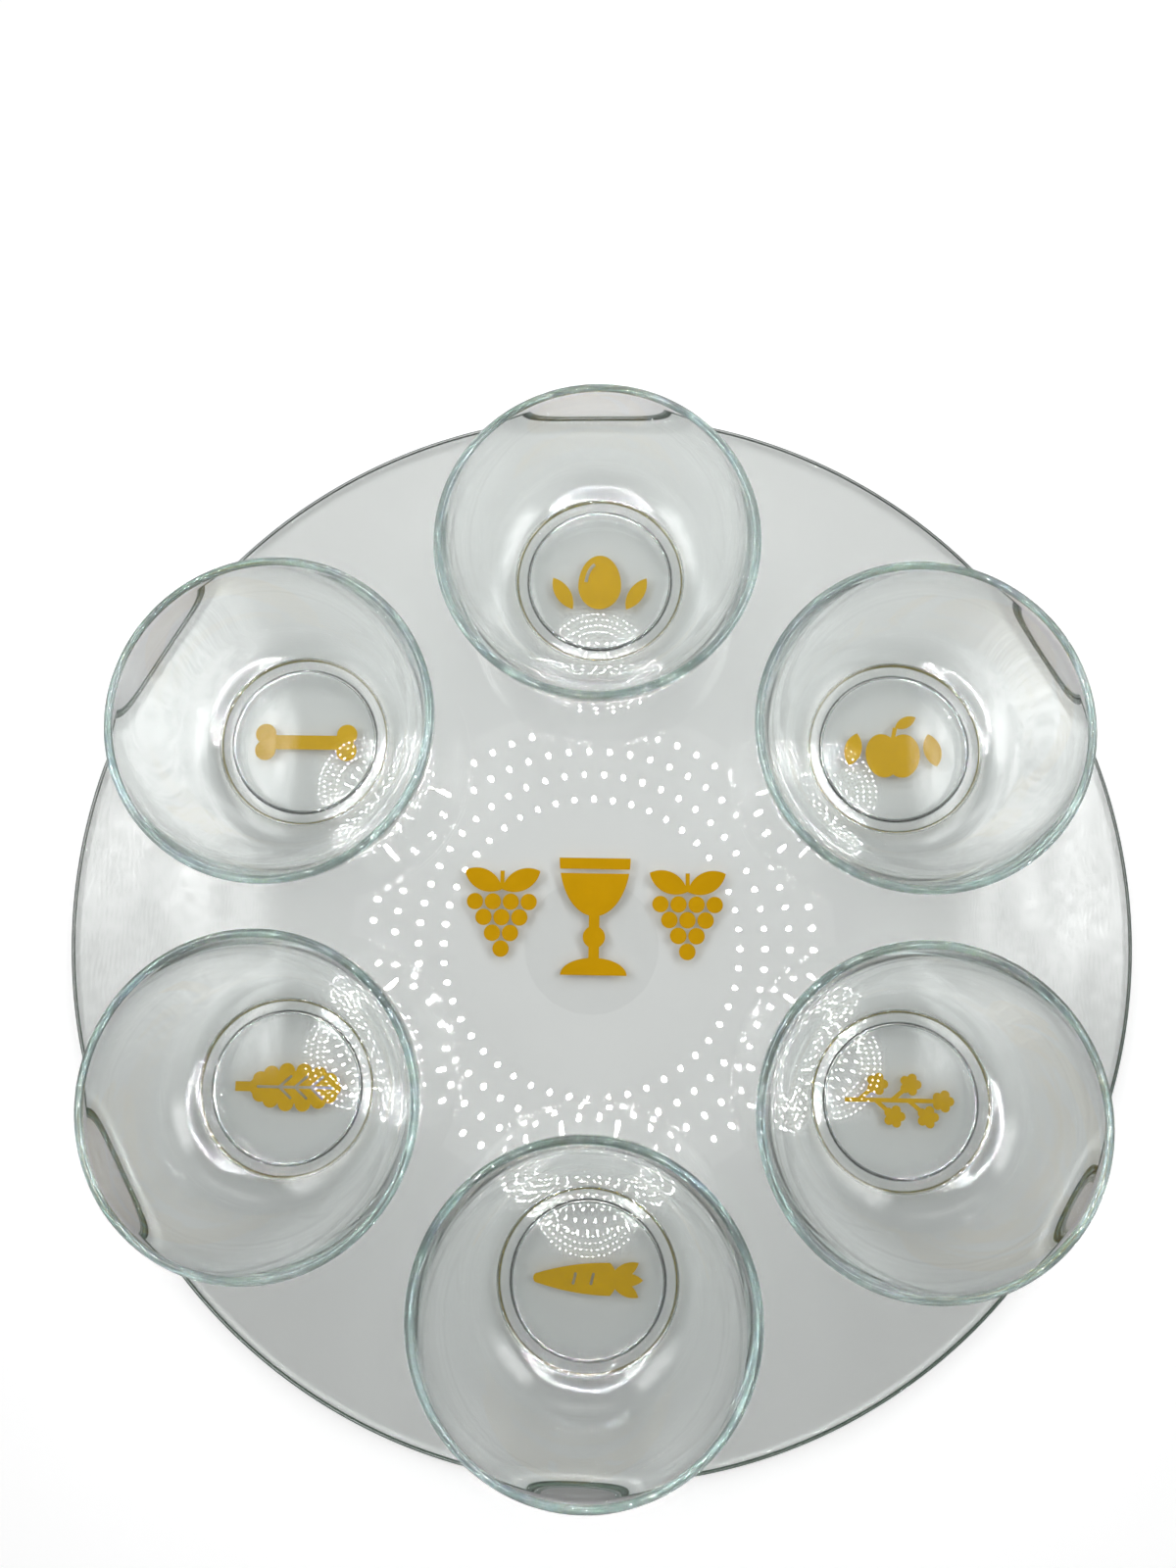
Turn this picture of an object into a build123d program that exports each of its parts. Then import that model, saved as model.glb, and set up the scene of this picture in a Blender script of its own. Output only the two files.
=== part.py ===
from build123d import *
from math import cos, radians, sin
import os

# A round glass seder plate that carries six loose glass bowls, with gold film emblems on its top face.
# Millimetres, +Z up. The origin is the centre of the plate's flat underside, on the table.

# Bowls
rim_diameter = 115.0
bowl_height = 52.0
rim_thickness = 3.0
base_thickness = 5.0
recess_diameter = 55.0
recess_depth = 2.2
recess_crown = 1.6
foot_ring_width = 5.5
foot_edge_round = 0.6
wall_flare = 12.0
knuckle_angle = 60.0

# Plate
plate_thickness = 6.0
plate_edge_flat = 4.2
bowl_gap = 15.0
rim_setback = 12.5

# Gold film
film_thickness = 0.15
emblem_margin = 7.5
stalk_line = 1.6

# Centre emblem: a goblet between two bunches of grapes
goblet_height = 44.0
cup_width = 27.0
cup_depth = 22.0
cup_band_drop = 5.0
cup_band_gap = 1.6
goblet_stem_width = 4.0
knop_radius = 4.2
goblet_foot_width = 25.0
goblet_foot_height = 6.5
grape_radius = 3.1
grape_gap = 0.6
grape_rows = 4
bunch_gap = 8.0
bunch_top = 5.0
vine_leaf_lift = 1.6
vine_stem_length = 7.0
vine_leaf_length = 16.0
vine_leaf_width = 8.0
vine_leaf_turn = 26.0

# Egg emblem: an egg between two leaves
egg_height = 22.0
egg_width = 17.0
egg_blunt_share = 0.43
egg_glint_inset = 3.0
egg_glint_width = 1.3
egg_glint_start = 112.0
egg_glint_sweep = 58.0
garnish_length = 15.0
garnish_width = 6.0
garnish_lean = 32.0
garnish_gap = 2.0

# Shank bone emblem
bone_shaft_width = 5.6
bone_knob_radius = 4.0
bone_knob_spread = 6.4

# Haroset emblem: an apple between two almonds
apple_lobe_width = 13.0
apple_lobe_height = 17.0
apple_lobe_spread = 7.6
apple_lobe_lean = 8.0
apple_stem_length = 5.0
apple_stem_lean = 78.0
apple_leaf_length = 9.0
apple_leaf_width = 4.2
apple_leaf_turn = 28.0
almond_length = 13.0
almond_width = 6.6
almond_lean = 14.0

# Karpas emblem: a sprig of parsley
tuft_radius = 2.4
tuft_lobe_radius = 1.7
tuft_lobe_count = 5
sprig_turn = 40.0
sprig_length = 9.0
sprig_places = (0.14, 0.31, 0.48, 0.65)

# Horseradish emblem: a tapered root with its leaves
root_width = 11.5
root_tip_width = 3.6
root_swell = 1.0
root_crown_bulge = 2.5
root_leaf_length = 12.0
root_leaf_width = 4.8
root_leaf_turn = 30.0
root_cut_length = 4.4
root_cut_width = 1.0
root_cut_lean = 76.0
root_cut_pitch = 6.5
root_cut_count = 2

# Lettuce emblem: a ruffled leaf
lettuce_width = 18.0
ruffle_radius = 3.0
ruffle_count = 14
lettuce_stalk_length = 5.0
lettuce_stalk_width = 3.6
vein_width = 1.0
vein_length = 6.4
vein_turn = 42.0
vein_pitch = 6.0
vein_count = 3

# Sizes that follow from the ones above
food_places = ("egg", "haroset", "karpas", "horseradish", "lettuce", "shank_bone")
first_place_angle = 90.0
place_step = 360.0 / len(food_places)
pitch_radius = (rim_diameter + bowl_gap) / (2 * sin(radians(place_step / 2)))
rim_radius = rim_diameter / 2
plate_radius = pitch_radius + rim_radius + rim_setback
plate_edge_round = (plate_thickness - plate_edge_flat) / 2
rim_shoulder = bowl_height - rim_thickness / 2
recess_radius = recess_diameter / 2
foot_radius = recess_radius + foot_ring_width
foot_ring_height = recess_depth + base_thickness / 2
crown_height = recess_depth + recess_crown
floor_height = recess_depth + base_thickness
knuckle_reach = rim_radius - rim_thickness - wall_flare - recess_radius
knuckle_radius = knuckle_reach / sin(radians(knuckle_angle))
fillet_share = 0.45
foot_round = min(foot_edge_round, fillet_share * recess_depth, fillet_share * foot_ring_width)
emblem_length = recess_diameter - 2 * emblem_margin
emblem_half = emblem_length / 2
touch = 0.001

os.makedirs("parts", exist_ok=True)


def place_of(food):
    """The spot on the plate's top face where a food's bowl stands, going clockwise from the far side."""
    angle = radians(first_place_angle - place_step * food_places.index(food))
    return Vector(pitch_radius * cos(angle), pitch_radius * sin(angle), plate_thickness)


def film_plane(food):
    """The plane on the plate's top face for the emblem under a food's bowl."""
    return Plane(origin=place_of(food), x_dir=(1, 0, 0), z_dir=(0, 0, 1))


def keep(piece, name):
    """Labels a finished piece and writes it to its own file."""
    piece.part.label = name
    export_step(piece.part, f"parts/{name}.step")
    print(name, "solids", len(piece.part.solids()), "volume", round(piece.part.volume, 2))


def along(point, angle, distance):
    """The point at a distance from another, in a direction given in degrees."""
    return Vector(point) + Vector(distance * cos(radians(angle)), distance * sin(radians(angle)))


def leaf(base, angle, length, width):
    """A pointed leaf that grows from its base point in a direction given in degrees."""
    tip = along(base, angle, length)
    middle = along(base, angle, length / 2)
    with BuildSketch() as blade:
        with BuildLine():
            ThreePointArc(base, along(middle, angle + 90, width / 2), tip)
            ThreePointArc(tip, along(middle, angle - 90, width / 2), base)
        make_face()
    return blade.sketch


def tuft(center):
    """A curly parsley leaf: a round middle with lobes about it."""
    with BuildSketch() as curl:
        with Locations(center):
            Circle(tuft_radius)
            with PolarLocations(tuft_radius, tuft_lobe_count):
                Circle(tuft_lobe_radius)
    return curl.sketch


def make_bowl(food):
    """A pressed glass bowl, turned from one profile, with a ring foot round a domed recess."""
    place = place_of(food)
    with BuildPart() as bowl:
        with BuildSketch(Plane(origin=place, x_dir=(1, 0, 0), z_dir=(0, -1, 0))) as profile:
            with BuildLine():
                floor = Line((0, floor_height), (recess_radius, floor_height))
                inner_knuckle = JernArc(floor @ 1, (1, 0), knuckle_radius, knuckle_angle)
                inner_lip = (rim_radius - rim_thickness, rim_shoulder)
                outer_lip = (rim_radius, rim_shoulder)
                TangentArc(inner_knuckle @ 1, inner_lip, tangent=inner_knuckle % 1)
                ThreePointArc(inner_lip, (rim_radius - rim_thickness / 2, bowl_height), outer_lip)
                base = TangentArc((0, crown_height), (recess_radius, recess_depth), tangent=(1, 0))
                outer_knuckle = JernArc(base @ 1, (1, 0), knuckle_radius + base_thickness, knuckle_angle)
                TangentArc(outer_knuckle @ 1, outer_lip, tangent=outer_knuckle % 1)
                Line((0, crown_height), (0, floor_height))
            make_face()
            with Locations((recess_radius, 0)):
                Rectangle(foot_ring_width, foot_ring_height, align=(Align.MIN, Align.MIN))
            low_corners = profile.vertices().filter_by_position(Axis.Y, -touch, foot_ring_height + touch)
            ring_inside = low_corners.filter_by_position(Axis.X, recess_radius - touch, recess_radius + touch)
            ring_outside = low_corners.filter_by_position(Axis.X, foot_radius - touch, foot_radius + touch)
            fillet(ring_inside + ring_outside, radius=foot_round)
        revolve(axis=Axis(place, (0, 0, 1)))
    keep(bowl, f"bowl_{food}")


# Plate: one disc of clear float glass with a rounded, polished edge.
with BuildPart() as plate:
    with BuildSketch():
        Circle(plate_radius)
    extrude(amount=plate_thickness)
    fillet(plate.edges().filter_by(GeomType.CIRCLE), radius=plate_edge_round)
keep(plate, "plate")

# Bowls: one for each food, standing loose on the plate.
for food in food_places:
    make_bowl(food)

# Centre emblem: the goblet has a clear band below its lip, and each bunch hangs from a stem with two leaves.
with BuildPart() as emblem_centre:
    with BuildSketch(Plane.XY.offset(plate_thickness)):
        lip = goblet_height / 2
        with BuildLine():
            Line((-cup_width / 2, lip), (cup_width / 2, lip))
            EllipticalCenterArc((0, lip), cup_width / 2, cup_depth, 180, arc_size=180)
        make_face()
        with Locations((0, lip - cup_band_drop)):
            Rectangle(cup_width, cup_band_gap, mode=Mode.SUBTRACT)
        with Locations((0, -lip)):
            stem_height = goblet_height - cup_depth + goblet_stem_width
            Rectangle(goblet_stem_width, stem_height, align=(Align.CENTER, Align.MIN))
        with Locations((0, (goblet_foot_height - cup_depth) / 2)):
            Circle(knop_radius)
        with BuildLine():
            Line((-goblet_foot_width / 2, -lip), (goblet_foot_width / 2, -lip))
            EllipticalCenterArc((0, -lip), goblet_foot_width / 2, goblet_foot_height, 0, arc_size=180)
        make_face()
        grape_pitch = 2 * grape_radius + grape_gap
        bunch_middle = cup_width / 2 + bunch_gap + grape_rows * grape_pitch / 2
        for row in range(grape_rows):
            row_level = bunch_top - row * grape_pitch * sin(radians(60))
            for number in range(grape_rows - row):
                row_start = bunch_middle - grape_pitch * (grape_rows - row - 1) / 2
                with Locations((row_start + number * grape_pitch, row_level)):
                    Circle(grape_radius)
        stem_foot = Vector(bunch_middle, bunch_top + grape_radius + vine_leaf_lift)
        with BuildLine():
            Line(stem_foot, along(stem_foot, 90, vine_stem_length))
        trace(line_width=stalk_line)
        for heading in (vine_leaf_turn, 180 - vine_leaf_turn):
            add(leaf(stem_foot, heading, vine_leaf_length, vine_leaf_width))
        mirror(about=Plane.YZ)
    extrude(amount=film_thickness)
keep(emblem_centre, "emblem_centre")

# Egg emblem: the egg stands on its blunt end, with a clear glint, and leans a leaf to each side.
with BuildPart() as emblem_egg:
    with BuildSketch(film_plane("egg")):
        blunt_radius = egg_height * egg_blunt_share
        pointed_radius = egg_height - blunt_radius
        egg_middle = (0, blunt_radius - egg_height / 2)
        glint_radii = (egg_width / 2 - egg_glint_inset, pointed_radius - egg_glint_inset)
        with BuildLine():
            EllipticalCenterArc(egg_middle, egg_width / 2, pointed_radius, 0, arc_size=180)
            EllipticalCenterArc(egg_middle, egg_width / 2, blunt_radius, 180, arc_size=180)
        make_face()
        with BuildLine():
            EllipticalCenterArc(egg_middle, *glint_radii, egg_glint_start, arc_size=egg_glint_sweep)
        trace(line_width=egg_glint_width, mode=Mode.SUBTRACT)
        for side in (1, -1):
            garnish_foot = (side * (egg_width / 2 + garnish_gap), -egg_height / 2)
            add(leaf(garnish_foot, 90 - side * garnish_lean, garnish_length, garnish_width))
    extrude(amount=film_thickness)
keep(emblem_egg, "emblem_egg")

# Haroset emblem: two leaning lobes make the apple, with a stem and one leaf.
with BuildPart() as emblem_haroset:
    with BuildSketch(film_plane("haroset")):
        for side in (1, -1):
            with Locations((side * apple_lobe_spread / 2, -apple_stem_length / 2)):
                Ellipse(apple_lobe_width / 2, apple_lobe_height / 2, rotation=-side * apple_lobe_lean)
            almond_foot = (side * (emblem_half - almond_width / 2), -almond_length / 2)
            add(leaf(almond_foot, 90 + side * almond_lean, almond_length, almond_width))
        stem_foot = Vector(0, apple_lobe_height / 2 - apple_stem_length)
        stem_top = along(stem_foot, apple_stem_lean, apple_stem_length)
        with BuildLine():
            Line(stem_foot, stem_top)
        trace(line_width=stalk_line)
        add(leaf(stem_top, apple_leaf_turn, apple_leaf_length, apple_leaf_width))
    extrude(amount=film_thickness)
keep(emblem_haroset, "emblem_haroset")

# Karpas emblem: tufts on side stems that leave the main stem by turns.
with BuildPart() as emblem_karpas:
    with BuildSketch(film_plane("karpas")):
        tuft_reach = tuft_radius + tuft_lobe_radius
        with BuildLine():
            main_stem = Line((-emblem_half, 0), (emblem_half - tuft_reach, 0))
        trace(line_width=stalk_line)
        add(tuft(main_stem @ 1))
        for number, share in enumerate(sprig_places):
            turn = sprig_turn if number % 2 == 0 else -sprig_turn
            sprig_end = along(main_stem @ share, turn, sprig_length)
            with BuildLine():
                Line(main_stem @ share, sprig_end)
            trace(line_width=stalk_line)
            add(tuft(sprig_end))
    extrude(amount=film_thickness)
keep(emblem_karpas, "emblem_karpas")

# Horseradish emblem: a root that tapers to a blunt tip, with cuts across it and three leaves at its crown.
with BuildPart() as emblem_horseradish:
    with BuildSketch(film_plane("horseradish")):
        crown = emblem_half - root_leaf_length
        crown_top = (crown, root_width / 2)
        crown_bottom = (crown, -root_width / 2)
        tip_top = (root_tip_width / 2 - emblem_half, root_tip_width / 2)
        tip_bottom = (root_tip_width / 2 - emblem_half, -root_tip_width / 2)
        with BuildLine():
            SagittaArc(tip_top, crown_top, root_swell)
            ThreePointArc(crown_top, (crown + root_crown_bulge, 0), crown_bottom)
            SagittaArc(crown_bottom, tip_bottom, root_swell)
            ThreePointArc(tip_bottom, (-emblem_half, 0), tip_top)
        make_face()
        for turn in (root_leaf_turn, 0, -root_leaf_turn):
            add(leaf((crown, 0), turn, root_leaf_length, root_leaf_width))
        for number in range(root_cut_count):
            with Locations((crown - root_cut_pitch * (number + 1), 0)):
                SlotOverall(root_cut_length, root_cut_width, rotation=root_cut_lean, mode=Mode.SUBTRACT)
    extrude(amount=film_thickness)
keep(emblem_horseradish, "emblem_horseradish")

# Lettuce emblem: ruffles round an oval leaf, with a midrib and side veins left clear.
with BuildPart() as emblem_lettuce:
    with BuildSketch(film_plane("lettuce")):
        leaf_middle = lettuce_stalk_length / 2
        blade_length = (emblem_length - lettuce_stalk_length) / 2 - ruffle_radius
        blade_width = lettuce_width / 2 - ruffle_radius
        with Locations((leaf_middle, 0)):
            Ellipse(blade_length, blade_width)
        for number in range(ruffle_count):
            angle = radians(360 * number / ruffle_count)
            with Locations((leaf_middle + blade_length * cos(angle), blade_width * sin(angle))):
                Circle(ruffle_radius)
        with Locations((-emblem_half, 0)):
            stalk_reach = lettuce_stalk_length + ruffle_radius
            Rectangle(stalk_reach, lettuce_stalk_width, align=(Align.MIN, Align.CENTER))
        with Locations((leaf_middle, 0)):
            SlotOverall(2 * blade_length, vein_width, mode=Mode.SUBTRACT)
        for number in range(vein_count):
            vein_foot = (leaf_middle + vein_pitch * (number - (vein_count - 1) / 2), 0)
            for turn in (vein_turn, -vein_turn):
                with Locations(along(vein_foot, turn, vein_length / 2)):
                    SlotOverall(vein_length, vein_width, rotation=turn, mode=Mode.SUBTRACT)
    extrude(amount=film_thickness)
keep(emblem_lettuce, "emblem_lettuce")

# Shank bone emblem: a straight shaft with two knobs at each end.
with BuildPart() as emblem_shank_bone:
    with BuildSketch(film_plane("shank_bone")):
        shaft_length = emblem_length - 2 * bone_knob_radius
        Rectangle(shaft_length, bone_shaft_width)
        with GridLocations(shaft_length, bone_knob_spread, 2, 2):
            Circle(bone_knob_radius)
    extrude(amount=film_thickness)
keep(emblem_shank_bone, "emblem_shank_bone")
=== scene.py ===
import math

import bmesh
import bpy
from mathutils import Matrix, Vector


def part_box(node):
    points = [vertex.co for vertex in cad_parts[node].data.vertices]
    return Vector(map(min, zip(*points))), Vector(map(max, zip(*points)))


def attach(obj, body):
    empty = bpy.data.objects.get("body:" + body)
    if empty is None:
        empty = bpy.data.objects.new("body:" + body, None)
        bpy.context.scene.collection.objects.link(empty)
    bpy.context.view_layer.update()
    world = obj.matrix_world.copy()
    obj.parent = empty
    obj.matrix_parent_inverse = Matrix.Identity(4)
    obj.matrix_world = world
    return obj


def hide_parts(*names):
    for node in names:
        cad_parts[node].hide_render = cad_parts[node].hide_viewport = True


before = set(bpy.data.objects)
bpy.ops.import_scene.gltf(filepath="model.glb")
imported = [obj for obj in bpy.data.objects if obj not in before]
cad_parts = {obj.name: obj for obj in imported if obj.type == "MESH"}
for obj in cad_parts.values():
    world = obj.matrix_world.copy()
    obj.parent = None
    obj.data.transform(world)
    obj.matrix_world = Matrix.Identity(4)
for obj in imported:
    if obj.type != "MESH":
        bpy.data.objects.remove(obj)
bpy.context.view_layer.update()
scene = bpy.context.scene

# The plate is one disc of clear float glass, cut round and laid flat on the table. Its edge is ground
# to a pencil round and polished. It carries every other piece and is held by nothing.
plate_low, plate_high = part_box("plate")
plate_radius = (plate_high.x - plate_low.x) / 2
air_gap = 0.00002
plate_face = plate_high.z - air_gap
plate_edge_round = 0.0009
plate_edge_steps = 5
plate_turn_steps = 360
plate_face_border = 0.0006
flat_face_tilt = 0.999
round_profile = 0.5
smooth_angle = math.radians(40)
plate_glass_tint = (0.99, 1.0, 0.993, 1.0)
plate_body_colour = (0.60, 0.72, 0.64, 1.0)
plate_body_density = 8.0
# painted shade: a dark tint on the glass along the edge's upper rounded corner
edge_painted_shade_tint = (0.10, 0.13, 0.12, 1.0)
edge_line_roughness = 0.45
edge_line_outward = (0.75, 0.5)
edge_line_upward = (1.0, 0.6)
plate_smear_scale = 18.0
plate_wave_scale = 14.0
plate_wave_depth = 0.00002
smear_roughness = 0.02
smear_detail = 4.0
smear_twist = 1.2
smear_range = (0.48, 0.78)
wave_detail = 1.0
glass_ior = 1.52


def pick(piece, kind, wanted):
    """In edit mode, selects only the vertices, edges or faces that pass a test."""
    bpy.ops.mesh.select_mode(type=kind)
    bpy.ops.mesh.select_all(action="DESELECT")
    shell = bmesh.from_edit_mesh(piece.data)
    parts = {"VERT": shell.verts, "EDGE": shell.edges, "FACE": shell.faces}[kind]
    for part in parts:
        if wanted(part):
            part.select_set(True)
    shell.select_flush_mode()
    bmesh.update_edit_mesh(piece.data)


def new_finish(name):
    """A material with an empty node tree, its surface shader and its output, joined."""
    finish = bpy.data.materials.new(name)
    finish.use_nodes = True
    tree = finish.node_tree
    tree.nodes.clear()
    surface = tree.nodes.new("ShaderNodeBsdfPrincipled")
    output = tree.nodes.new("ShaderNodeOutputMaterial")
    tree.links.new(surface.outputs["BSDF"], output.inputs["Surface"])
    return finish, tree, surface, output


def multiply(tree, first, second):
    """The product of two values in a node tree; the second alone if there is no first."""
    if first is None:
        return second
    product = tree.nodes.new("ShaderNodeMath")
    product.operation = "MULTIPLY"
    tree.links.new(first, product.inputs[0])
    tree.links.new(second, product.inputs[1])
    return product.outputs["Value"]


def make_wiped_glass():
    """Faint cloth smears and dust on handled glass: a roughness and a height that change over it."""
    group = bpy.data.node_groups.new("wiped_glass", "ShaderNodeTree")
    group.interface.new_socket("Smear Scale", in_out="INPUT", socket_type="NodeSocketFloat")
    smear = group.interface.new_socket("Smear Roughness", in_out="INPUT", socket_type="NodeSocketFloat")
    smear.default_value = smear_roughness
    group.interface.new_socket("Wave Scale", in_out="INPUT", socket_type="NodeSocketFloat")
    group.interface.new_socket("Roughness", in_out="OUTPUT", socket_type="NodeSocketFloat")
    group.interface.new_socket("Height", in_out="OUTPUT", socket_type="NodeSocketFloat")
    nodes, links = group.nodes, group.links
    given = nodes.new("NodeGroupInput")
    result = nodes.new("NodeGroupOutput")
    place = nodes.new("ShaderNodeTexCoord")
    smears = nodes.new("ShaderNodeTexNoise")
    smears.inputs["Detail"].default_value = smear_detail
    smears.inputs["Distortion"].default_value = smear_twist
    waves = nodes.new("ShaderNodeTexNoise")
    waves.inputs["Detail"].default_value = wave_detail
    level = nodes.new("ShaderNodeMapRange")
    level.inputs["From Min"].default_value = smear_range[0]
    level.inputs["From Max"].default_value = smear_range[1]
    links.new(place.outputs["Object"], smears.inputs["Vector"])
    links.new(place.outputs["Object"], waves.inputs["Vector"])
    links.new(given.outputs["Smear Scale"], smears.inputs["Scale"])
    links.new(given.outputs["Wave Scale"], waves.inputs["Scale"])
    links.new(smears.outputs["Fac"], level.inputs["Value"])
    links.new(given.outputs["Smear Roughness"], level.inputs["To Max"])
    links.new(level.outputs["Result"], result.inputs["Roughness"])
    links.new(waves.outputs["Fac"], result.inputs["Height"])
    return group


wiped_glass = make_wiped_glass()


def make_glass(name, tint, body_colour, body_density, smear_scale, wave_scale, wave_depth):
    """Clear glass that darkens with its thickness, with faint smears and a slightly uneven surface."""
    finish, tree, surface, output = new_finish(name)
    surface.inputs["Base Color"].default_value = tint
    surface.inputs["IOR"].default_value = glass_ior
    surface.inputs["Transmission Weight"].default_value = 1.0
    marks = tree.nodes.new("ShaderNodeGroup")
    marks.node_tree = wiped_glass
    marks.inputs["Smear Scale"].default_value = smear_scale
    marks.inputs["Wave Scale"].default_value = wave_scale
    bump = tree.nodes.new("ShaderNodeBump")
    bump.inputs["Strength"].default_value = 1.0
    bump.inputs["Distance"].default_value = wave_depth
    body = tree.nodes.new("ShaderNodeVolumeAbsorption")
    body.inputs["Color"].default_value = body_colour
    body.inputs["Density"].default_value = body_density
    tree.links.new(marks.outputs["Roughness"], surface.inputs["Roughness"])
    tree.links.new(marks.outputs["Height"], bump.inputs["Height"])
    tree.links.new(bump.outputs["Normal"], surface.inputs["Normal"])
    tree.links.new(body.outputs["Volume"], output.inputs["Volume"])
    return finish


bpy.ops.object.select_all(action="DESELECT")
bpy.ops.mesh.primitive_cylinder_add(
    vertices=plate_turn_steps, radius=plate_radius, depth=plate_face, location=(0, 0, plate_face / 2)
)
plate = bpy.context.object
plate.name = "glass_plate"
bpy.ops.object.transform_apply(location=True, rotation=False, scale=False)
bpy.ops.object.mode_set(mode="EDIT")
pick(plate, "EDGE", lambda edge: abs(edge.verts[0].co.z - edge.verts[1].co.z) < air_gap)
bpy.ops.mesh.bevel(offset=plate_edge_round, segments=plate_edge_steps, profile=round_profile, affect="EDGES")
pick(plate, "FACE", lambda face: abs(face.normal.z) > flat_face_tilt)
bpy.ops.mesh.inset(thickness=plate_face_border)
bpy.ops.mesh.poke()
bpy.ops.object.mode_set(mode="OBJECT")
bpy.ops.object.shade_smooth_by_angle(angle=smooth_angle)
plate_glass = make_glass(
    "plate_glass", plate_glass_tint, plate_body_colour, plate_body_density,
    plate_smear_scale, plate_wave_scale, plate_wave_depth,
)
# The polish is dull along the edge's upper rounded corner, and the glass there is tinted dark
# as painted shade, which shows as a thin dark line.
tree = plate_glass.node_tree
surface = tree.nodes["Principled BSDF"]
smears = surface.inputs["Roughness"].links[0].from_socket
place = tree.nodes.new("ShaderNodeTexCoord")
flat = tree.nodes.new("ShaderNodeVectorMath")
flat.operation = "MULTIPLY"
flat.inputs[1].default_value = (1.0, 1.0, 0.0)
reach = tree.nodes.new("ShaderNodeVectorMath")
reach.operation = "LENGTH"
outward = tree.nodes.new("ShaderNodeMapRange")
outward.inputs["From Min"].default_value = plate_radius - edge_line_outward[0] * plate_edge_round
outward.inputs["From Max"].default_value = plate_radius - edge_line_outward[1] * plate_edge_round
parts = tree.nodes.new("ShaderNodeSeparateXYZ")
upward = tree.nodes.new("ShaderNodeMapRange")
upward.inputs["From Min"].default_value = plate_face - edge_line_upward[0] * plate_edge_round
upward.inputs["From Max"].default_value = plate_face - edge_line_upward[1] * plate_edge_round
colour = tree.nodes.new("ShaderNodeMix")
colour.data_type = "RGBA"
colour.inputs["A"].default_value = plate_glass_tint
colour.inputs["B"].default_value = edge_painted_shade_tint
gloss = tree.nodes.new("ShaderNodeMix")
gloss.inputs["B"].default_value = edge_line_roughness
tree.links.new(place.outputs["Object"], flat.inputs[0])
tree.links.new(flat.outputs["Vector"], reach.inputs[0])
tree.links.new(reach.outputs["Value"], outward.inputs["Value"])
tree.links.new(place.outputs["Object"], parts.inputs["Vector"])
tree.links.new(parts.outputs["Z"], upward.inputs["Value"])
edge_line = multiply(tree, outward.outputs["Result"], upward.outputs["Result"])
tree.links.new(edge_line, colour.inputs["Factor"])
tree.links.new(colour.outputs["Result"], surface.inputs["Base Color"])
tree.links.new(edge_line, gloss.inputs["Factor"])
tree.links.new(smears, gloss.inputs["A"])
tree.links.new(gloss.outputs["Result"], surface.inputs["Roughness"])
plate.data.materials.append(plate_glass)
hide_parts("plate")
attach(plate, "plate")

# The gold emblems are thin film laid on the plate's top face and fired on: one at the centre and one
# where each bowl stands. Their ink is a little uneven, with a soft sheen. The small ones under the bowls
# are painted lighter and yellower than the centre one, as painted light.
centre_golds = ((0.64, 0.34, 0.002, 1.0), (0.75, 0.405, 0.003, 1.0))
# painted light: the same gold as the centre's, made lighter and yellower for the emblems under the bowls
small_golds_painted_light = ((0.71, 0.425, 0.002, 1.0), (0.83, 0.505, 0.003, 1.0))
gold_patch_scale = 90.0
gold_patch_detail = 3.0
gold_grain_scale = 1600.0
gold_grain_detail = 2.0
gold_grain_strength = 0.25
gold_grain_depth = 0.00004
gold_roughness = (0.34, 0.52)
gold_sheen = 0.04


def make_gold_film(name, deep, light):
    """Fired gold ink: two close golds in soft patches, with a fine grain in its gloss."""
    finish, tree, surface, _ = new_finish(name)
    place = tree.nodes.new("ShaderNodeTexCoord")
    patches = tree.nodes.new("ShaderNodeTexNoise")
    patches.inputs["Scale"].default_value = gold_patch_scale
    patches.inputs["Detail"].default_value = gold_patch_detail
    grain = tree.nodes.new("ShaderNodeTexNoise")
    grain.inputs["Scale"].default_value = gold_grain_scale
    grain.inputs["Detail"].default_value = gold_grain_detail
    colour = tree.nodes.new("ShaderNodeMix")
    colour.data_type = "RGBA"
    colour.inputs["A"].default_value = deep
    colour.inputs["B"].default_value = light
    gloss = tree.nodes.new("ShaderNodeMapRange")
    gloss.inputs["To Min"].default_value = gold_roughness[0]
    gloss.inputs["To Max"].default_value = gold_roughness[1]
    bump = tree.nodes.new("ShaderNodeBump")
    bump.inputs["Strength"].default_value = gold_grain_strength
    bump.inputs["Distance"].default_value = gold_grain_depth
    surface.inputs["Metallic"].default_value = 0.0
    surface.inputs["Specular IOR Level"].default_value = gold_sheen
    for texture in (patches, grain):
        tree.links.new(place.outputs["Object"], texture.inputs["Vector"])
    tree.links.new(patches.outputs["Fac"], colour.inputs["Factor"])
    tree.links.new(colour.outputs["Result"], surface.inputs["Base Color"])
    tree.links.new(grain.outputs["Fac"], gloss.inputs["Value"])
    tree.links.new(gloss.outputs["Result"], surface.inputs["Roughness"])
    tree.links.new(grain.outputs["Fac"], bump.inputs["Height"])
    tree.links.new(bump.outputs["Normal"], surface.inputs["Normal"])
    return finish


centre_gold = make_gold_film("gold_film", *centre_golds)
small_gold_painted_light = make_gold_film("small_gold_film_painted_light", *small_golds_painted_light)
for name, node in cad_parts.items():
    if name.startswith("emblem_"):
        node.data.materials.clear()
        node.data.materials.append(centre_gold if name == "emblem_centre" else small_gold_painted_light)

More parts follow.
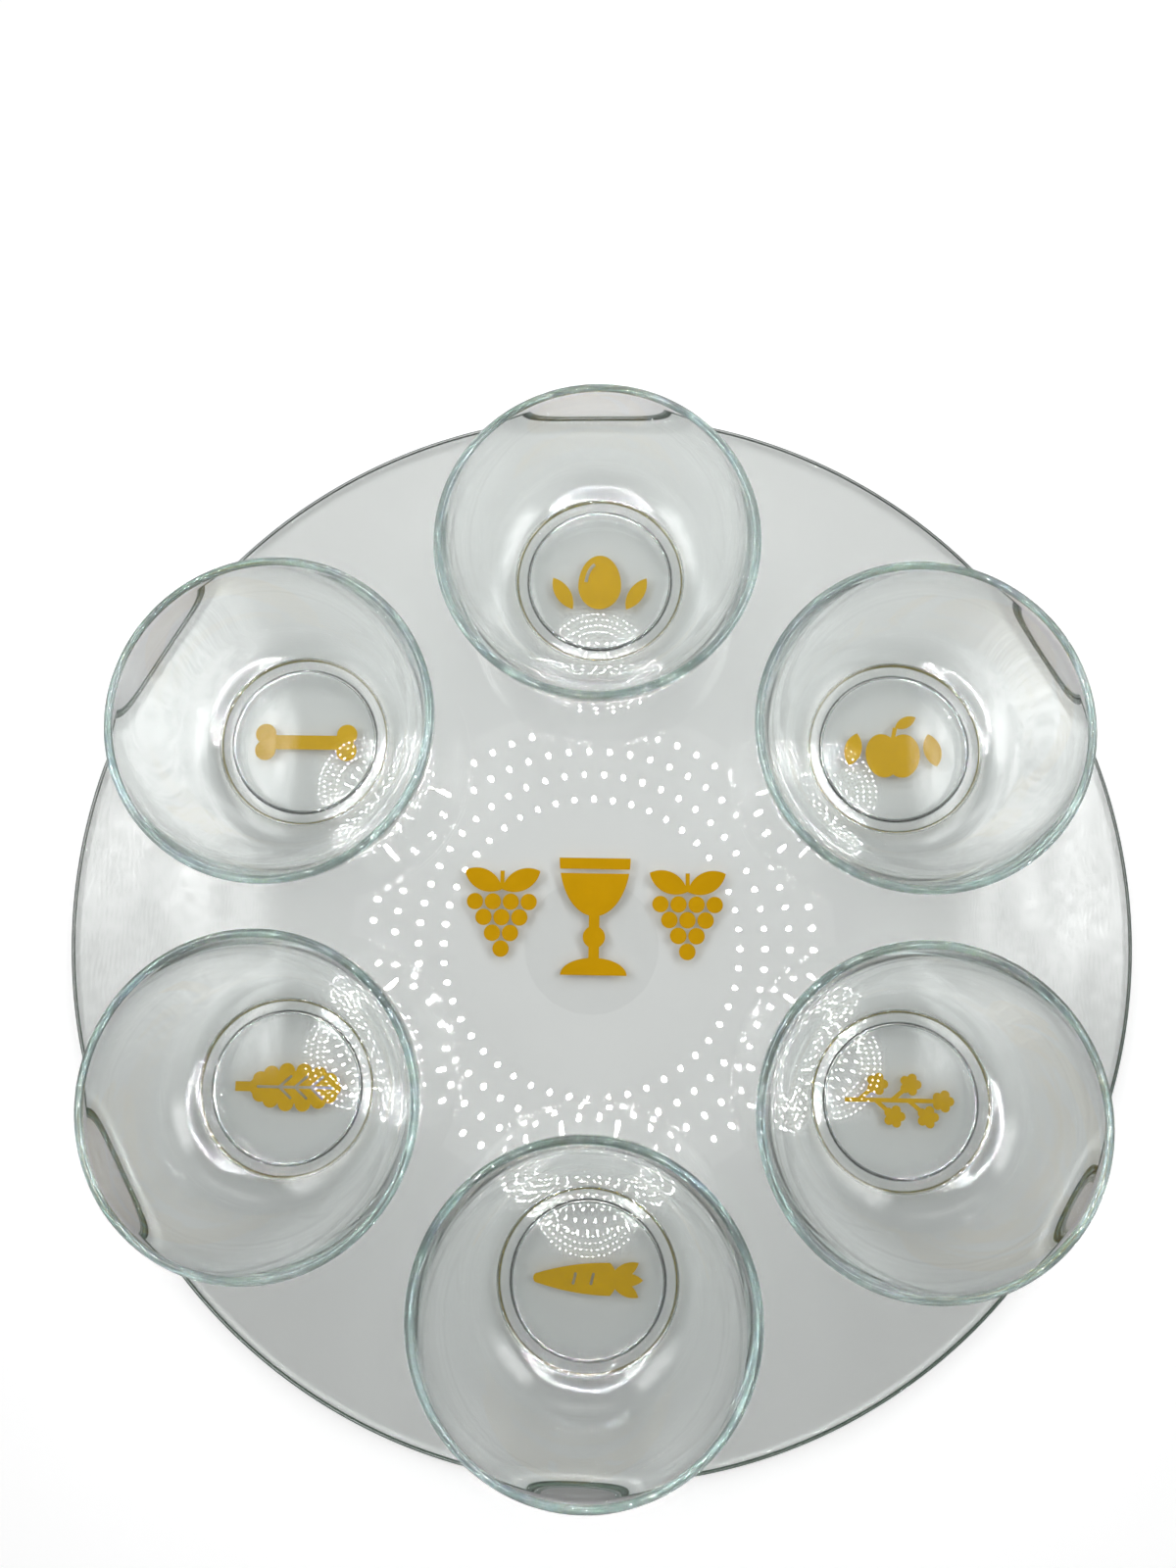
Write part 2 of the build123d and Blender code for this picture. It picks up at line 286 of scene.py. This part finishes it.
# The six bowls are pressed clear glass, one for each food, all from one mould. Each stands loose on a
# ring foot round a domed recess, and its thick wall ends in a fire-polished, rounded rim.
foods = ("egg", "haroset", "karpas", "horseradish", "lettuce", "shank_bone")
first_low, first_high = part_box("bowl_egg")
bowl_seat = first_low.z
bowl_height = first_high.z - first_low.z
rim_radius = (first_high.x - first_low.x) / 2
rim_thickness = 0.003
base_thickness = 0.005
recess_radius = 0.0275
recess_depth = 0.0022
recess_crown = 0.0016
foot_radius = 0.033
foot_round = 0.0006
foot_border = 2 * foot_round
merge_gap = air_gap / 4
wall_flare = 0.012
knuckle_angle = math.radians(60)
bowl_turn_steps = 256
crown_steps = 10
knuckle_steps = 10
wall_steps = 18
rim_steps = 22
floor_steps = 12
foot_round_steps = 5
bowl_tint = (0.995, 1.0, 1.0, 1.0)
bowl_body_colour = (0.56, 0.67, 0.645, 1.0)
bowl_body_density = 14.0
# painted shade: dark tints for the glass at the foot's lower corners and round the recess's edge
inner_corner_painted_shade = (0.003, 0.004, 0.003, 1.0)
outer_corner_painted_shade = (0.09, 0.065, 0.001, 1.0)
recess_shade = (0.16, 0.18, 0.17, 1.0)
painted_shade_width = 1.5 * foot_round
painted_shade_height = 0.9 * foot_round
bowl_smear_scale = 45.0
bowl_wave_scale = 24.0
bowl_wave_depth = 0.000008


def draw_to(radius, height):
    """Carries the end of the profile straight to a point."""
    end = next(vertex for vertex in bmesh.from_edit_mesh(bowl.data).verts if vertex.select)
    step = (radius - end.co.x, 0, bowl_seat + height - end.co.z)
    bpy.ops.mesh.extrude_region_move(TRANSFORM_OT_translate={"value": step})


def draw_arc(centre, angle, steps):
    """Carries the end of the profile round an arc, clockwise as the profile is drawn."""
    middle = (centre[0], 0, bowl_seat + centre[1])
    bpy.ops.mesh.spin(steps=steps, angle=angle, center=middle, axis=(0, -1, 0))


def arc_from(start, angle, end):
    """The centre and sweep of the arc that leaves a point at an angle and ends at another."""
    chord = (end[0] - start[0], end[1] - start[1])
    turn = math.cos(angle) * chord[1] - math.sin(angle) * chord[0]
    radius = (chord[0] ** 2 + chord[1] ** 2) / (2 * turn)
    centre = (start[0] - radius * math.sin(angle), start[1] + radius * math.cos(angle))
    return centre, 2 * (math.atan2(chord[1], chord[0]) - angle)


floor_height = recess_depth + base_thickness
rim_shoulder = bowl_height - rim_thickness / 2
rim_inside = rim_radius - rim_thickness
crown_radius = (recess_radius**2 + recess_crown**2) / (2 * recess_crown)
knuckle_radius = (rim_inside - wall_flare - recess_radius) / math.sin(knuckle_angle)
knuckle_centre = (recess_radius, floor_height + knuckle_radius)
outer_radius = knuckle_radius + base_thickness
foot_angle = math.asin((foot_radius - recess_radius) / outer_radius)
foot_top = knuckle_centre[1] - outer_radius * math.cos(foot_angle)


def knuckle_end(radius):
    """Where an arc of the knuckle, of a radius, passes into the wall."""
    across = knuckle_centre[0] + radius * math.sin(knuckle_angle)
    return across, knuckle_centre[1] - radius * math.cos(knuckle_angle)


outer_wall, outer_sweep = arc_from(knuckle_end(outer_radius), knuckle_angle, (rim_radius, rim_shoulder))
inner_wall, inner_sweep = arc_from(knuckle_end(knuckle_radius), knuckle_angle, (rim_inside, rim_shoulder))

bpy.ops.object.select_all(action="DESELECT")
bpy.ops.mesh.primitive_plane_add(size=foot_round, location=(0, 0, 0))
bowl = bpy.context.object
bpy.ops.object.mode_set(mode="EDIT")
bpy.ops.mesh.select_mode(type="VERT")
bpy.ops.mesh.merge(type="CENTER")
bpy.ops.transform.translate(value=(0, 0, bowl_seat + recess_depth + recess_crown))
crown_centre = (0, recess_depth + recess_crown - crown_radius)
draw_arc(crown_centre, math.asin(recess_radius / crown_radius), crown_steps)
draw_to(recess_radius, 0)
draw_to(recess_radius + foot_border, 0)
draw_to(foot_radius - foot_border, 0)
draw_to(foot_radius, 0)
draw_to(foot_radius, foot_top)
draw_arc(knuckle_centre, foot_angle - knuckle_angle, knuckle_steps)
draw_arc(outer_wall, -outer_sweep, wall_steps)
draw_arc((rim_radius - rim_thickness / 2, rim_shoulder), -math.pi, rim_steps)
draw_arc(inner_wall, inner_sweep, wall_steps)
draw_arc(knuckle_centre, knuckle_angle, floor_steps)
draw_to(0, floor_height)
foot_corners = (
    (recess_radius, recess_depth), (recess_radius, 0), (foot_radius, 0), (foot_radius, foot_top),
)


def is_foot_corner(vertex):
    """Whether a point of the profile is one of the foot's sharp corners, which are to be rounded."""
    return any(
        math.hypot(vertex.co.x - across, vertex.co.z - bowl_seat - up) < air_gap
        for across, up in foot_corners
    )


pick(bowl, "VERT", is_foot_corner)
bpy.ops.mesh.bevel(offset=foot_round, segments=foot_round_steps, profile=round_profile, affect="VERTICES")
bpy.ops.mesh.select_all(action="SELECT")
bpy.ops.mesh.spin(steps=bowl_turn_steps, angle=2 * math.pi, center=(0, 0, 0), axis=(0, 0, 1))
bpy.ops.mesh.select_all(action="SELECT")
bpy.ops.mesh.remove_doubles(threshold=merge_gap)
bpy.ops.mesh.normals_make_consistent(inside=False)
bpy.ops.object.mode_set(mode="OBJECT")
bpy.ops.object.shade_smooth_by_angle(angle=smooth_angle)
bowl_glass = make_glass(
    "bowl_glass", bowl_tint, bowl_body_colour, bowl_body_density,
    bowl_smear_scale, bowl_wave_scale, bowl_wave_depth,
)
bowl.data.materials.append(bowl_glass)
# Painted shade darkens the glass along the foot's lower corners, olive-dark on the outer one, and round the
# recess's edge.
foot_painted_shade = bowl.data.attributes.new("foot_painted_shade", "FLOAT_COLOR", "POINT")
for vertex, shade in zip(bowl.data.vertices, foot_painted_shade.data):
    across = math.hypot(vertex.co.x, vertex.co.y)
    up = vertex.co.z - bowl_seat
    shade.color = bowl_tint
    if abs(across - foot_radius) < painted_shade_width and up < painted_shade_height:
        shade.color = outer_corner_painted_shade
    if abs(across - recess_radius) < painted_shade_width and up < painted_shade_height:
        shade.color = inner_corner_painted_shade
    if abs(across - recess_radius) < painted_shade_height and abs(up - recess_depth) < painted_shade_height:
        shade.color = recess_shade
tree = bowl_glass.node_tree
tinted = tree.nodes.new("ShaderNodeAttribute")
tinted.attribute_name = "foot_painted_shade"
tree.links.new(tinted.outputs["Color"], tree.nodes["Principled BSDF"].inputs["Base Color"])

bowls = [bowl]
for _ in foods[1:]:
    bpy.ops.object.select_all(action="DESELECT")
    bowl.select_set(True)
    bpy.context.view_layer.objects.active = bowl
    bpy.ops.object.duplicate(linked=False)
    bowls.append(bpy.context.object)
for food, piece in zip(foods, bowls):
    low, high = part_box(f"bowl_{food}")
    bpy.ops.object.select_all(action="DESELECT")
    piece.select_set(True)
    bpy.context.view_layer.objects.active = piece
    piece.name = f"glass_bowl_{food}"
    bpy.ops.transform.translate(value=((low.x + high.x) / 2, (low.y + high.y) / 2, 0))
    bpy.ops.object.transform_apply(location=True, rotation=False, scale=False)
    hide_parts(f"bowl_{food}")
    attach(piece, f"{food}_bowl")

# The floor is a wide, plain white table top, just clear of the plate's underside. It isn't part of the
# object. It shows as white to the eye and through glass, and it still takes the object's shadow.
floor_width = 12.0
floor_cuts = 3
floor_drop = 5 * air_gap
floor_colour = (0.80, 0.80, 0.80, 1.0)
floor_lift = 0.60
far_floor_lift = 0.85
far_floor_from = 0.5
far_floor_to = 1.6
floor_lift_in_glass = 0.06
bpy.ops.object.select_all(action="DESELECT")
bpy.ops.mesh.primitive_plane_add(size=floor_width, location=(0, 0, -floor_drop))
floor = bpy.context.object
floor.name = "table_top"
bpy.ops.object.mode_set(mode="EDIT")
bpy.ops.mesh.subdivide(number_cuts=floor_cuts)
bpy.ops.object.mode_set(mode="OBJECT")
table_white = bpy.data.materials.new("table_white")
table_white.use_nodes = True
tree = table_white.node_tree
tree.nodes.clear()
paper = tree.nodes.new("ShaderNodeBsdfDiffuse")
paper.inputs["Color"].default_value = floor_colour
lift = tree.nodes.new("ShaderNodeEmission")
seen = tree.nodes.new("ShaderNodeLightPath")
in_glass = tree.nodes.new("ShaderNodeMath")
in_glass.operation = "MAXIMUM"
glass_share = tree.nodes.new("ShaderNodeMath")
glass_share.operation = "MULTIPLY"
glass_share.inputs[1].default_value = floor_lift_in_glass
eye_share = tree.nodes.new("ShaderNodeMath")
eye_share.operation = "MULTIPLY_ADD"
place = tree.nodes.new("ShaderNodeTexCoord")
reach = tree.nodes.new("ShaderNodeVectorMath")
reach.operation = "LENGTH"
spread = tree.nodes.new("ShaderNodeMapRange")
spread.inputs["From Min"].default_value = far_floor_from
spread.inputs["From Max"].default_value = far_floor_to
spread.inputs["To Min"].default_value = floor_lift
spread.inputs["To Max"].default_value = far_floor_lift
both = tree.nodes.new("ShaderNodeAddShader")
shown = tree.nodes.new("ShaderNodeOutputMaterial")
tree.links.new(seen.outputs["Is Glossy Ray"], in_glass.inputs[0])
tree.links.new(seen.outputs["Is Transmission Ray"], in_glass.inputs[1])
tree.links.new(in_glass.outputs["Value"], glass_share.inputs[0])
tree.links.new(place.outputs["Object"], reach.inputs[0])
tree.links.new(reach.outputs["Value"], spread.inputs["Value"])
tree.links.new(spread.outputs["Result"], eye_share.inputs[1])
tree.links.new(seen.outputs["Is Camera Ray"], eye_share.inputs[0])
tree.links.new(glass_share.outputs["Value"], eye_share.inputs[2])
tree.links.new(eye_share.outputs["Value"], lift.inputs["Strength"])
tree.links.new(paper.outputs["BSDF"], both.inputs[0])
tree.links.new(lift.outputs["Emission"], both.inputs[1])
tree.links.new(both.outputs["Shader"], shown.inputs["Surface"])
floor.data.materials.append(table_white)

# The lights are those of a small white studio: panels of glinting cloth to the left, to the right and
# behind, a ring lamp of small bright points round the lens, and a soft fill that is dim on the near side.
cloth_panels = (
    ("cloth_panel_left", (-0.34, 0.12, 0.46), (90, 0, 90), 0.50, 0.66, 3.1),
    ("cloth_panel_right", (0.34, 0.12, 0.46), (90, 0, -90), 0.50, 0.66, 3.1),
    ("cloth_panel_back", (0.0, 0.44, 0.24), (90, 0, 0), 0.70, 0.34, 1.5),
)
panel_soft_share = 0.36
thread_scale = (110.0, 200.0, 1.0)
thread_detail = 1.0
thread_range = (0.40, 0.75)
thread_shares = (0.85, 1.9)
cloud_scale = 12.0
cloud_detail = 2.0
cloud_range = (0.3, 0.7)
cloud_shares = (0.55, 1.45)


def make_cloth_glow(name, width, height, brightness):
    """A lit cloth: soft at its edges, cloudy over its width, with small bright glints of its threads."""
    cloth = bpy.data.materials.new(name)
    cloth.use_nodes = True
    tree = cloth.node_tree
    tree.nodes.clear()
    place = tree.nodes.new("ShaderNodeTexCoord")
    parts = tree.nodes.new("ShaderNodeSeparateXYZ")
    tree.links.new(place.outputs["Object"], parts.inputs["Vector"])
    cover = None
    for axis, size in (("X", width), ("Y", height)):
        away = tree.nodes.new("ShaderNodeMath")
        away.operation = "ABSOLUTE"
        edge = tree.nodes.new("ShaderNodeMapRange")
        edge.interpolation_type = "SMOOTHSTEP"
        edge.inputs["From Min"].default_value = size / 2
        edge.inputs["From Max"].default_value = size / 2 - size * panel_soft_share
        tree.links.new(parts.outputs[axis], away.inputs[0])
        tree.links.new(away.outputs["Value"], edge.inputs["Value"])
        cover = multiply(tree, cover, edge.outputs["Result"])
    stretch = tree.nodes.new("ShaderNodeVectorMath")
    stretch.operation = "MULTIPLY"
    stretch.inputs[1].default_value = thread_scale
    threads = tree.nodes.new("ShaderNodeTexNoise")
    threads.inputs["Scale"].default_value = 1.0
    threads.inputs["Detail"].default_value = thread_detail
    glints = tree.nodes.new("ShaderNodeMapRange")
    glints.inputs["From Min"].default_value = thread_range[0]
    glints.inputs["From Max"].default_value = thread_range[1]
    glints.inputs["To Min"].default_value = thread_shares[0]
    glints.inputs["To Max"].default_value = thread_shares[1]
    clouds = tree.nodes.new("ShaderNodeTexNoise")
    clouds.inputs["Scale"].default_value = cloud_scale
    clouds.inputs["Detail"].default_value = cloud_detail
    broad = tree.nodes.new("ShaderNodeMapRange")
    broad.inputs["From Min"].default_value = cloud_range[0]
    broad.inputs["From Max"].default_value = cloud_range[1]
    broad.inputs["To Min"].default_value = cloud_shares[0] * brightness
    broad.inputs["To Max"].default_value = cloud_shares[1] * brightness
    tree.links.new(place.outputs["Object"], stretch.inputs[0])
    tree.links.new(stretch.outputs["Vector"], threads.inputs["Vector"])
    tree.links.new(threads.outputs["Fac"], glints.inputs["Value"])
    tree.links.new(place.outputs["Object"], clouds.inputs["Vector"])
    tree.links.new(clouds.outputs["Fac"], broad.inputs["Value"])
    glow = tree.nodes.new("ShaderNodeEmission")
    clear = tree.nodes.new("ShaderNodeBsdfTransparent")
    fade = tree.nodes.new("ShaderNodeMixShader")
    shown = tree.nodes.new("ShaderNodeOutputMaterial")
    strength = multiply(tree, glints.outputs["Result"], broad.outputs["Result"])
    tree.links.new(strength, glow.inputs["Strength"])
    tree.links.new(cover, fade.inputs["Fac"])
    tree.links.new(clear.outputs["BSDF"], fade.inputs[1])
    tree.links.new(glow.outputs["Emission"], fade.inputs[2])
    tree.links.new(fade.outputs["Shader"], shown.inputs["Surface"])
    return cloth


for name, place, turn, width, height, brightness in cloth_panels:
    bpy.ops.object.select_all(action="DESELECT")
    bpy.ops.mesh.primitive_plane_add(size=1.0)
    panel = bpy.context.object
    panel.name = name
    bpy.ops.transform.resize(value=(width, height, 1.0))
    bpy.ops.object.transform_apply(location=False, rotation=False, scale=True)
    panel.location = place
    panel.rotation_euler = [math.radians(angle) for angle in turn]
    panel.data.materials.append(make_cloth_glow(f"{name}_glow", width, height, brightness))
    panel.visible_camera = False

# The ring lamp stands round the lens: four rings of bright points in front of a dim board with a dark
# hole in its middle. It isn't part of the object, and only its mirror images in the glass are seen.
lamp_centre = (-0.0142, -0.0090)
lamp_height = 0.4535
lamp_rings = ((0.112, 48), (0.131, 54), (0.1495, 59), (0.167, 64))
lamp_point_radius = 0.0018
lamp_point_sides = 8
lamp_point_brightness = 260.0
lamp_hole = 0.0513
lamp_edge = 0.185
lamp_board_gap = 0.006
lamp_board_sides = 96
lamp_board_look = 0.65
lamp_hole_look = 0.10
lamp_glow = 0.7
bpy.ops.object.select_all(action="DESELECT")
bpy.ops.mesh.primitive_circle_add(vertices=lamp_point_sides, radius=lamp_point_radius, fill_type="NGON")
lamp_points = bpy.context.object
lamp_points.name = "ring_lamp_points"
bpy.ops.object.mode_set(mode="EDIT")
bpy.ops.mesh.delete(type="VERT")
for ring_radius, count in lamp_rings:
    bpy.ops.mesh.select_all(action="DESELECT")
    spot = (lamp_centre[0] + ring_radius, lamp_centre[1], lamp_height)
    bpy.ops.mesh.primitive_circle_add(
        vertices=lamp_point_sides, radius=lamp_point_radius, fill_type="NGON", location=spot
    )
    bpy.ops.mesh.spin(
        steps=count - 1, dupli=True, angle=2 * math.pi * (count - 1) / count,
        center=(*lamp_centre, lamp_height), axis=(0, 0, 1),
    )
bpy.ops.object.mode_set(mode="OBJECT")

bpy.ops.object.select_all(action="DESELECT")
bpy.ops.mesh.primitive_circle_add(
    vertices=lamp_board_sides, radius=lamp_edge, fill_type="NGON",
    location=(*lamp_centre, lamp_height + lamp_board_gap),
)
lamp_board = bpy.context.object
lamp_board.name = "ring_lamp_board"
bpy.ops.object.mode_set(mode="EDIT")
bpy.ops.mesh.inset(thickness=lamp_edge - lamp_hole)
bpy.ops.mesh.separate(type="SELECTED")
bpy.ops.object.mode_set(mode="OBJECT")
lamp_middle = next(piece for piece in bpy.context.selected_objects if piece != lamp_board)
lamp_middle.name = "ring_lamp_middle"


def make_lamp_glow(name, first_look, after_table):
    """A glow with one strength as it is mirrored in glass, and another as it lights the table."""
    finish = bpy.data.materials.new(name)
    finish.use_nodes = True
    tree = finish.node_tree
    tree.nodes.clear()
    path = tree.nodes.new("ShaderNodeLightPath")
    level = tree.nodes.new("ShaderNodeMapRange")
    level.inputs["To Min"].default_value = first_look
    level.inputs["To Max"].default_value = after_table
    glow = tree.nodes.new("ShaderNodeEmission")
    shown = tree.nodes.new("ShaderNodeOutputMaterial")
    tree.links.new(path.outputs["Diffuse Depth"], level.inputs["Value"])
    tree.links.new(level.outputs["Result"], glow.inputs["Strength"])
    tree.links.new(glow.outputs["Emission"], shown.inputs["Surface"])
    finish.cycles.emission_sampling = "NONE"
    return finish


lamp_parts = (
    (lamp_points, lamp_point_brightness, 0.0),
    (lamp_board, lamp_board_look, lamp_glow),
    (lamp_middle, lamp_hole_look, lamp_hole_look),
)
for piece, first_look, after_table in lamp_parts:
    piece.data.materials.append(make_lamp_glow(f"{piece.name}_glow", first_look, after_table))
    piece.visible_camera = False
    piece.visible_shadow = False

# The fill is a soft light from all round, brighter from the far side and from above. Behind the object
# it shows as plain white.
fill_dim = 0.05
fill_bright = 0.54
fill_low_share = 0.45
fill_depth_reach = 0.8
fill_full_height = 0.6
world = bpy.data.worlds.new("soft_fill")
scene.world = world
world.use_nodes = True
tree = world.node_tree
tree.nodes.clear()
aim = tree.nodes.new("ShaderNodeTexCoord")
parts = tree.nodes.new("ShaderNodeSeparateXYZ")
depth = tree.nodes.new("ShaderNodeMapRange")
depth.inputs["From Min"].default_value = -fill_depth_reach
depth.inputs["From Max"].default_value = fill_depth_reach
depth.inputs["To Min"].default_value = fill_dim
depth.inputs["To Max"].default_value = fill_bright
height = tree.nodes.new("ShaderNodeMapRange")
height.inputs["From Max"].default_value = fill_full_height
height.inputs["To Min"].default_value = fill_low_share
seen = tree.nodes.new("ShaderNodeLightPath")
shade = tree.nodes.new("ShaderNodeMix")
shade.inputs["B"].default_value = 1.0
sky = tree.nodes.new("ShaderNodeBackground")
shown = tree.nodes.new("ShaderNodeOutputWorld")
tree.links.new(aim.outputs["Generated"], parts.inputs["Vector"])
tree.links.new(parts.outputs["Y"], depth.inputs["Value"])
tree.links.new(parts.outputs["Z"], height.inputs["Value"])
tree.links.new(multiply(tree, depth.outputs["Result"], height.outputs["Result"]), shade.inputs["A"])
tree.links.new(seen.outputs["Is Camera Ray"], shade.inputs["Factor"])
tree.links.new(shade.outputs["Result"], sky.inputs["Strength"])
tree.links.new(sky.outputs["Background"], shown.inputs["Surface"])
sky.inputs["Color"].default_value = (1.0, 1.0, 1.0, 1.0)

# The camera looks down on the plate from just above its middle, tipped a little towards the far side.
# Light is followed through many walls of glass, and mirrored light stays sharp and uncut.
photo_height = 1600
photo_focal = 1202
camera_place = (0.0121, -0.0134, 0.45284)
camera_turn = (8.154, 1.821, 1.010)
camera_sensor = 36.0
nearest_seen = 0.01
glass_bounces = 24
mirror_bounces = 16
bpy.ops.object.camera_add(location=camera_place, rotation=[math.radians(angle) for angle in camera_turn])
camera = bpy.context.object
camera.data.sensor_width = camera_sensor
camera.data.lens = camera_sensor * photo_focal / photo_height
camera.data.clip_start = nearest_seen
scene.camera = camera
scene.view_settings.view_transform = "Standard"
scene.cycles.max_bounces = glass_bounces
scene.cycles.glossy_bounces = mirror_bounces
scene.cycles.transmission_bounces = glass_bounces
scene.cycles.blur_glossy = 0.0
scene.cycles.sample_clamp_indirect = 0.0
